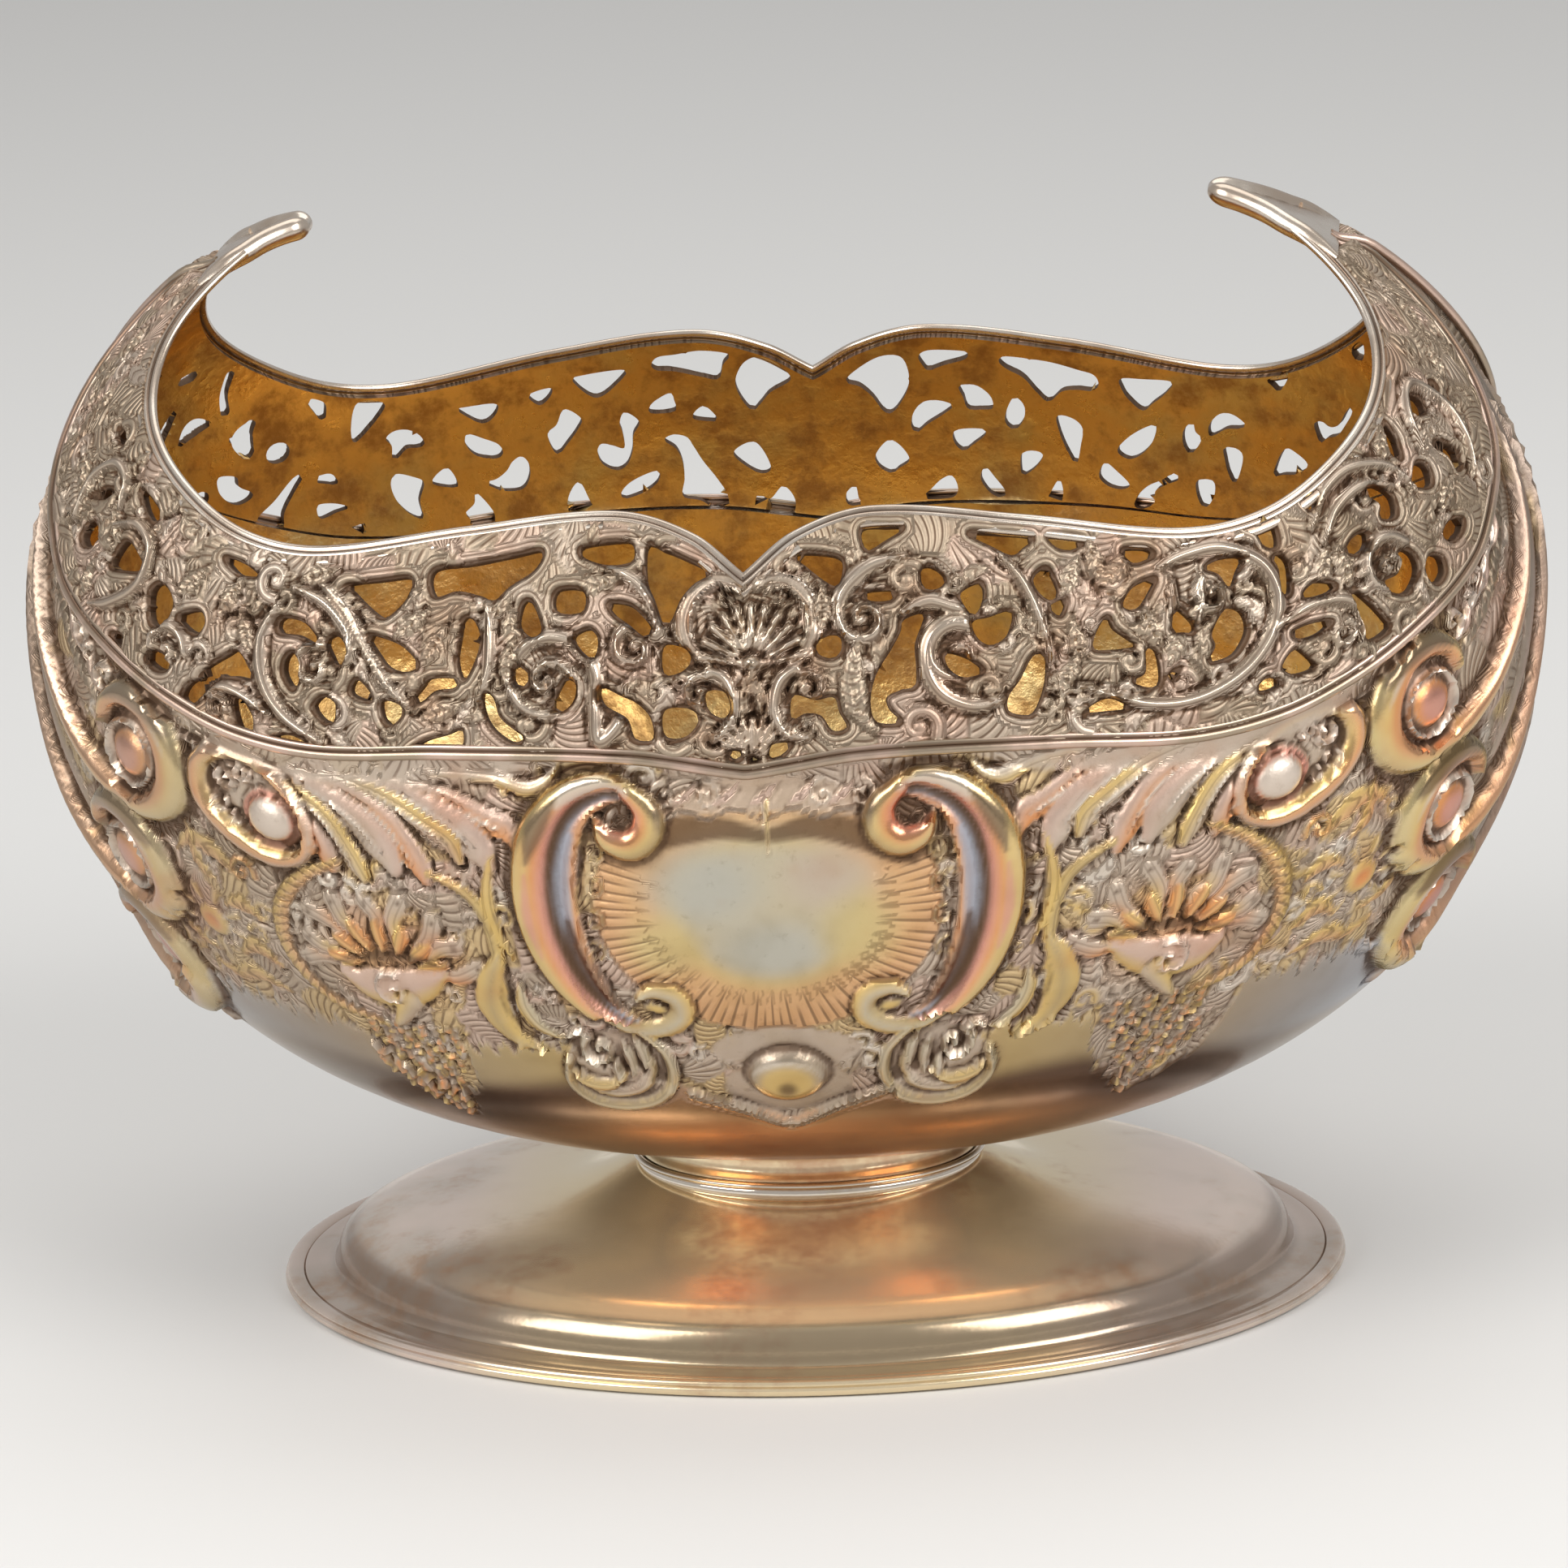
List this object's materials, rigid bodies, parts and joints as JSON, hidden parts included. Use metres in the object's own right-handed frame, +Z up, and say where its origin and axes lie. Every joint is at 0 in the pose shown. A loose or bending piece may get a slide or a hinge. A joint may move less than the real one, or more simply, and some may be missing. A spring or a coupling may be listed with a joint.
{
  "type": "footed bonbon dish",
  "caption": "Oval footed dish with an embossed boat-shaped bowl, pierced galleries, two inward-curling horned ends and a plain stepped oval foot.",
  "frame": {"origin": "on the table under the middle of the oval foot, at the centre of the bounding box in X and Y", "axes": "+Z up; X along the dish from one horned end to the other; the front gallery is on the -Y side"},
  "size_m": [0.1608, 0.1048, 0.1189],
  "materials": {
    "embossed_silver": "embossed silver with a warm iridescent tarnish and darkened recesses",
    "pierced_silver": "pierced and chased silver, gilt on the inside",
    "polished_silver": "plain polished silver with a light warm tarnish",
    "rim_silver": "reeded silver wire, bright from handling"
  },
  "bodies": {
    "root": {"foot_edge_wire": "polished_silver", "foot_dome": "polished_silver", "neck_ring": "polished_silver", "neck_bead": "polished_silver", "neck_collar": "polished_silver", "bowl_shell": "embossed_silver", "gallery_front": "pierced_silver", "gallery_back": "pierced_silver", "shoulder_wire_front": "rim_silver", "shoulder_wire_back": "rim_silver", "rim_wire_back_right": "rim_silver", "rim_wire_back_left": "rim_silver", "rim_wire_front_left": "rim_silver", "rim_wire_front_right": "rim_silver", "horn_tip_right": "rim_silver", "horn_tip_left": "rim_silver"}
  },
  "joints": []
}
